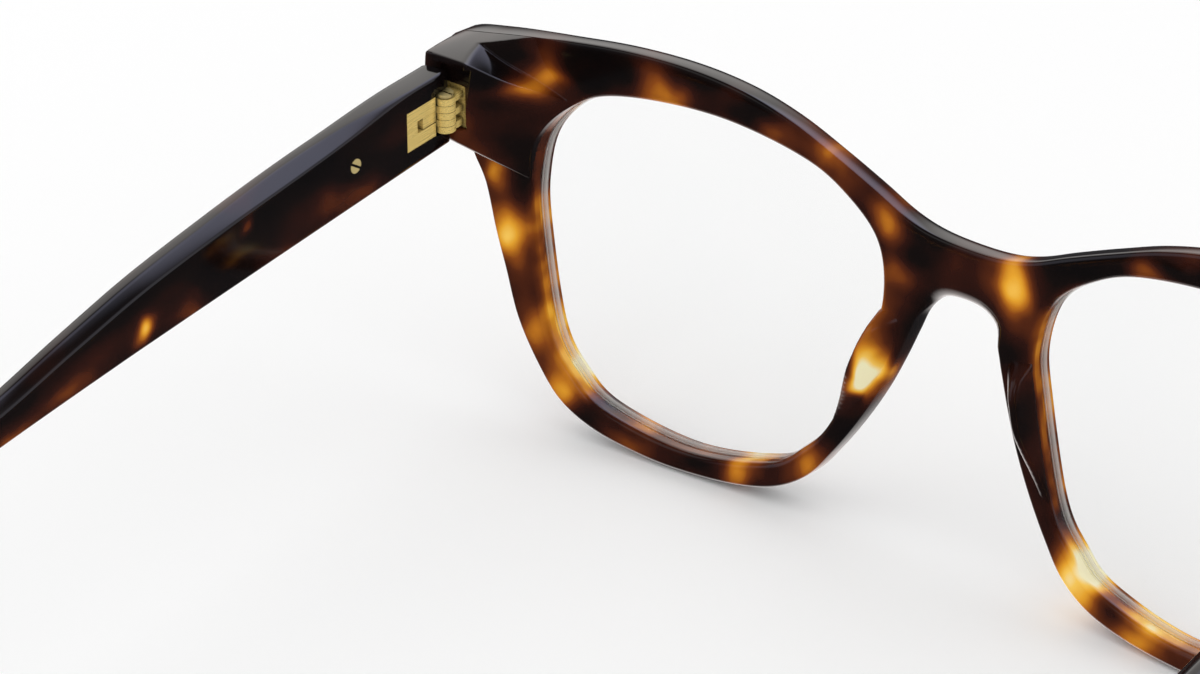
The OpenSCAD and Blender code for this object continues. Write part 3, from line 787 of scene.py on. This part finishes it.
def surface_net(field, low, high, h):
    """Closed quad mesh of the zero surface of a field over a box, with grid spacing h."""
    axes = [np.arange(low[i], high[i] + h, h) for i in range(3)]
    grid = np.stack(np.meshgrid(*axes, indexing="ij"), axis=-1)
    f = field(grid)
    solid = f < 0
    size = np.array(f.shape) - 1
    total, count = np.zeros((*size, 3)), np.zeros(size)
    corners = [(i, j, k) for i in (0, 1) for j in (0, 1) for k in (0, 1)]

    def at(values, c):
        return values[c[0]:c[0] + size[0], c[1]:c[1] + size[1], c[2]:c[2] + size[2]]

    for c in corners:
        for axis in range(3):
            if c[axis]:
                continue
            e = tuple(c[i] + (i == axis) for i in range(3))
            fa, fb = at(f, c), at(f, e)
            cross = (fa < 0) != (fb < 0)
            t = np.where(cross, fa / np.where(cross, fa - fb, 1), 0)
            for i in range(3):
                total[..., i] += cross * (c[i] + t * (e[i] - c[i]))
            count += cross
    cell = count > 0
    index = np.full(size, -1)
    index[cell] = np.arange(cell.sum())
    where = np.argwhere(cell)
    points = np.array(low) + (where + total[cell] / count[cell][:, None]) * h
    faces = []
    for axis in range(3):
        u, w = (axis + 1) % 3, (axis + 2) % 3
        ahead = [slice(None)] * 3
        ahead[axis] = slice(1, None)
        behind = [slice(None)] * 3
        behind[axis] = slice(None, -1)
        changes = np.argwhere(solid[tuple(ahead)] != solid[tuple(behind)])
        for c in changes:
            if c[u] == 0 or c[w] == 0 or c[u] >= size[u] or c[w] >= size[w]:
                continue
            quad = []
            for du, dw in ((0, 0), (1, 0), (1, 1), (0, 1)):
                q = c.copy()
                q[u] -= du
                q[w] -= dw
                quad.append(int(index[tuple(q)]))
            faces.append(tuple(quad))

    def onto_surface(points):
        """One Newton step towards the exact surface."""
        value = field(points)
        reach = 0.01
        slope = np.stack([(field(points + e) - field(points - e)) / (2 * reach)
                          for e in np.eye(3) * reach], axis=-1)
        move = value[:, None] * slope / np.maximum((slope ** 2).sum(1), 0.2)[:, None]
        return points - np.clip(move, -h / 2, h / 2)

    points = onto_surface(onto_surface(points))
    # Points that landed close together are moved between their neighbours
    quads = np.array(faces)
    edges = np.vstack([np.sort(quads[:, [i, (i + 1) % 4]], axis=1) for i in range(4)])
    edges = np.unique(edges, axis=0)
    for _ in range(8):
        gap = np.linalg.norm(points[edges[:, 0]] - points[edges[:, 1]], axis=1)
        tight = np.unique(edges[gap < h / 5])
        around, links = np.zeros_like(points), np.zeros(len(points))
        for a, b in ((0, 1), (1, 0)):
            np.add.at(around, edges[:, a], points[edges[:, b]])
            np.add.at(links, edges[:, a], 1)
        points[tight] = around[tight] / links[tight][:, None]
        points[tight] = onto_surface(points[tight])
    return points, faces


def build_block():
    """The left end block."""
    points, faces = surface_net(block_field, (55.05, -1.48, 31.08), (75.5, 10.2, 53.2), 0.2)
    return mesh_object("end_block_left", points, faces, 40, acetate_material)


# ---------------------------------------------------------------- lenses


def build_lens():
    """A slightly domed lens with a V edge that sits in the groove."""
    centre = opening_left.mean(0)
    normal = outward(opening_left)
    scales = [1.0, 0.86, 0.7, 0.5, 0.3, 0.12]
    dome = 0.9
    n = len(opening_left)

    def level(scale, offset, depth):
        ring = centre + (opening_left + normal * offset - centre) * scale
        return on_front(ring[:, 0], depth - dome * (1 - scale ** 2), ring[:, 1])

    rear, front = -2.35, -3.45
    rings = [level(s, -0.24, rear) for s in scales[::-1]]
    rings += [level(1.0, -0.05, rear), level(1.0, 0.5, -2.78), level(1.0, 0.5, -2.86),
              level(1.0, -0.05, front)]
    rings += [level(s, -0.24, front) for s in scales]
    edge_rings = (len(scales), len(scales) + 3)
    frosted = [np.full(n, float(k in edge_rings)) for k in range(len(rings))] + [np.zeros(2)]
    faces = []
    for k in range(len(rings) - 1):
        strip(faces, k * n, (k + 1) * n, n)
    # A middle point closes each side
    points = rings + [rings[0].mean(0)[None], rings[-1].mean(0)[None]]
    rear_middle, last = len(rings) * n, (len(rings) - 1) * n
    faces += [((j + 1) % n, j, rear_middle) for j in range(n)]
    faces += [(last + j, last + (j + 1) % n, rear_middle + 1) for j in range(n)]
    return mesh_object("lens_left", np.concatenate(points), faces, 25, lens_material,
                       np.concatenate(frosted))


# ---------------------------------------------------------------- temples

# The temple at the hinge: its inner face, lower edge, thickness and height, and its whole length.
# Then where it starts, its slope and its slope past the ear in degrees, the radius of the bend
# between them, and how far the tip's lower edge lifts.
TEMPLE_X, TEMPLE_Z, TEMPLE_T, TEMPLE_H, TEMPLE_L = 68.6, 39.0, 3.8, 10.4, 145.0
TEMPLE_Y, DROOP, EAR_ANGLE, EAR_R, TIP_RISE = 9.82, 2.0, 50.0, 30.0, 2.2
ARC_L = EAR_R * math.radians(EAR_ANGLE - DROOP)
STRAIGHT_L = (((TEMPLE_L - ARC_L) * math.sin(math.radians(EAR_ANGLE))
               + EAR_R * (math.cos(math.radians(DROOP)) - math.cos(math.radians(EAR_ANGLE)))
               - TEMPLE_Z - TIP_RISE * math.cos(math.radians(EAR_ANGLE)) - 0.05)
              / (math.sin(math.radians(EAR_ANGLE)) - math.sin(math.radians(DROOP))))
TIP_ROUND, TIP_CURL = 5.5, 6
# Along the temple: its height and thickness as shares, how far it sways in, and the bevel of its
# upper inner edge, down and across
HEIGHT = [(0, 1), (10, 1.03), (22, 1), (40, 0.94), (56, 0.84), (70, 0.67), (83, 0.5), (93, 0.47),
          (112, 0.58), (130, 0.68), (139, 0.65), (145, 0.55)]
THICK = [(0, 1), (30, 0.97), (60, 0.86), (90, 0.76), (120, 0.84), (138, 0.82), (145, 0.5)]
SWAY = [(0, 0), (60, 0.3), (90, 1.2), (115, 3.4), (145, 7.0)]
BEVEL_H = [(0, 0.4), (8, 0.4), (18, 0.9), (30, 1.1), (90, 1.1), (120, 0.8), (145, 0.5)]
BEVEL_T = [(0, 0.4), (8, 0.4), (20, 1.8), (30, 2.2), (45, 1.7), (90, 1.4), (120, 0.8), (145, 0.5)]


def lower_edge(s):
    """y, z and slope of the temple's lower edge at length s: straight, round the ear, straight."""
    d, e = math.radians(DROOP), math.radians(EAR_ANGLE)
    if s < STRAIGHT_L:
        return TEMPLE_Y + s * math.cos(d), TEMPLE_Z - s * math.sin(d), d
    a = min(e, d + (s - STRAIGHT_L) / EAR_R)
    rest = max(0, s - STRAIGHT_L - ARC_L)
    y = (TEMPLE_Y + STRAIGHT_L * math.cos(d) + EAR_R * (math.sin(a) - math.sin(d))
         + rest * math.cos(a))
    z = (TEMPLE_Z - STRAIGHT_L * math.sin(d) - EAR_R * (math.cos(d) - math.cos(a))
         - rest * math.sin(a))
    return y, z, a


def fillet(points, radii, n):
    """Closed outline with each corner rounded by n points."""
    p, out = np.array(points, float), []
    for i in range(len(p)):
        a, b, c = p[i - 1] - p[i], p[i], p[(i + 1) % len(p)] - p[i]
        la, lc = np.linalg.norm(a), np.linalg.norm(c)
        r = min(radii[i], 0.45 * la, 0.45 * lc)
        s, e = b + a / la * r, b + c / lc * r
        for t in np.linspace(0, 1, n):
            out.append(s * (1 - t) ** 2 + 2 * b * t * (1 - t) + e * t * t)
    return np.array(out)


def temple_ring(s):
    """The temple's section at length s, as points in the frame."""
    y, z, a = lower_edge(s)
    h, t = TEMPLE_H * along(HEIGHT, s), TEMPLE_T * along(THICK, s)
    bh, bt = along(BEVEL_H, s), along(BEVEL_T, s)
    u = max(0, s - TEMPLE_L + TIP_CURL) / TIP_CURL
    lift, x0 = TIP_RISE * u * u, TEMPLE_X - along(SWAY, s)
    section = fillet([(0, 0), (0, h - bh), (bt, h), (t, h), (t, 0)], [0.7, 0.35, 0.35, 0.9, 0.9], 5)
    section += [0, lift]
    cap = max(0, s - TEMPLE_L + TIP_ROUND) / TIP_ROUND
    section = section.mean(0) + (section - section.mean(0)) * max(0.06, math.sqrt(1 - cap * cap))
    w, q = section[:, 0], section[:, 1]
    return np.column_stack([x0 + w, y + q * math.sin(a), np.maximum(z + q * math.cos(a), 0.02)])


def cutter(name, low, high, bevel=0.0):
    """A box to cut away, with rounded edges if bevel is given."""
    corners = [(x, y, z) for x in (low[0], high[0]) for y in (low[1], high[1])
               for z in (low[2], high[2])]
    obj = mesh_object(name, corners, [(0, 1, 3, 2), (4, 6, 7, 5), (0, 4, 5, 1),
                                      (2, 3, 7, 6), (0, 2, 6, 4), (1, 5, 7, 3)])
    if bevel:
        mod = obj.modifiers.new("bevel", "BEVEL")
        mod.width = bevel * MM
        mod.segments = 4
        mod.limit_method = "NONE"
        apply_modifiers(obj)
    return obj


def cut(obj, tools):
    """Take the tools' volumes out of the object, and remove the tools."""
    for tool in tools:
        mod = obj.modifiers.new("cut", "BOOLEAN")
        mod.operation = "DIFFERENCE"
        mod.solver = "EXACT"
        mod.object = tool
    apply_modifiers(obj)
    for tool in tools:
        bpy.data.objects.remove(tool)
    finish_normals(obj, 30)


# The hinge screw's x, the hinge's middle height, and the spring housing's start, length and height
SCREW_X, HINGE_Z = 68.4, 44.0
HOUSE_Y, HOUSE_L, HOUSE_H, HOUSE_GAP = 12.5, 5.6, 5.4, 0.05


def build_temple():
    """The left temple, with a notch for the hinge and a pocket for the spring housing."""
    stations = np.r_[np.linspace(0, 30, 31), np.linspace(31, STRAIGHT_L, 40),
                     np.linspace(STRAIGHT_L + 1, TEMPLE_L - TIP_CURL, 46),
                     TEMPLE_L - TIP_ROUND * (1 - np.sin(np.linspace(0, math.pi / 2, 14)))]
    rings = [temple_ring(s) for s in stations]
    # The end slants away from the end block on its outer side
    slant = math.tan(math.radians(9))
    rings[0][:, 1] += np.maximum(0, rings[0][:, 0] - SCREW_X - 0.8) * slant
    temple = loft("temple_left", rings, temple_material)
    half_h = HOUSE_H / 2 + HOUSE_GAP
    cut(temple, [
        cutter("notch", (67.5, 9, HINGE_Z - 2.85), (71.1, HOUSE_Y + 0.1, HINGE_Z + 3.15), 0.25),
        cutter("pocket", (67.9, HOUSE_Y - HOUSE_GAP, HINGE_Z - half_h),
               (71.15, HOUSE_Y + HOUSE_L + HOUSE_GAP, HINGE_Z + half_h)),
    ])
    return temple


# ---------------------------------------------------------------- springs in the hinge housings

# The springs' x, their distance above and below the hinge's middle, and their ends: the housing's
# shoulder and the pins' heads. Then the coil's and the wire's radius, the turns and the travel.
SPRING_X, SPRING_Z, SPRING_Y0, SPRING_Y1 = 69.85, 1.72, 13.22, 15.98
SPRING_R, WIRE_R, TURNS, TRAVEL = 0.54, 0.09, 6, 0.9


def build_springs():
    """Two coils of round wire, one around each guide pin."""
    points, faces, sides, steps = [], [], 8, TURNS * 20
    for side in (-1, 1):
        start = len(points)
        for k in range(steps + 1):
            a = 2 * math.pi * TURNS * k / steps
            y = SPRING_Y0 + WIRE_R + (SPRING_Y1 - SPRING_Y0 - 2 * WIRE_R) * k / steps
            for j in range(sides):
                b = 2 * math.pi * j / sides
                r = SPRING_R + WIRE_R * math.cos(b)
                points.append((SPRING_X + r * math.cos(a), y + WIRE_R * math.sin(b),
                               HINGE_Z + side * SPRING_Z + r * math.sin(a)))
        for k in range(steps):
            strip(faces, start + k * sides, start + (k + 1) * sides, sides)
        faces.append(tuple(range(start, start + sides)))
        faces.append(tuple(range(len(points) - sides, len(points))))
    return mesh_object("hinge_springs_left", points, faces, 60, steel)


# ---------------------------------------------------------------- the CAD nodes' materials

SLOT_MATERIALS = {"acetate": acetate_material, "gold_metal": gold, "screw_metal": bright_gold,
                  "spring_steel": steel, "core_metal": steel, "lens": lens_material}
slot_of = {s["node"]: s["material_slot"] for s in frame["record"]["subparts"]}
for node_name, node in frame["nodes"].items():
    node.data.materials.clear()
    node.data.materials.append(SLOT_MATERIALS[slot_of[node_name]])

# ---------------------------------------------------------------- pieces and what they stand for


def place_piece(obj, body, slot_name, *nodes):
    """The piece moves with the body and stands for the nodes; slot_name is not used."""
    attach(obj, body)
    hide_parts(*nodes)


place_piece(build_front(), "front", "acetate", "front_frame")
for build, twin, slot_name, node in (
        (build_pad, "nose_pad_right", "acetate", "nose_pad"),
        (build_block, "end_block_right", "acetate", "end_block"),
        (build_lens, "lens_right", "lens", "lens"),
        (build_temple, "temple_right", "acetate", "temple")):
    piece = build()
    other = mirror_copy(piece, twin)
    for obj, side in ((piece, "left"), (other, "right")):
        body = f"{side}_temple" if node == "temple" else "front"
        place_piece(obj, body, slot_name, f"{side}_{node}")

springs = build_springs()
for obj, side in ((springs, "left"), (mirror_copy(springs, "hinge_springs_right"), "right")):
    place_piece(obj, f"{side}_slider", "spring_steel", f"{side}_hinge_springs")
    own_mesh(obj)
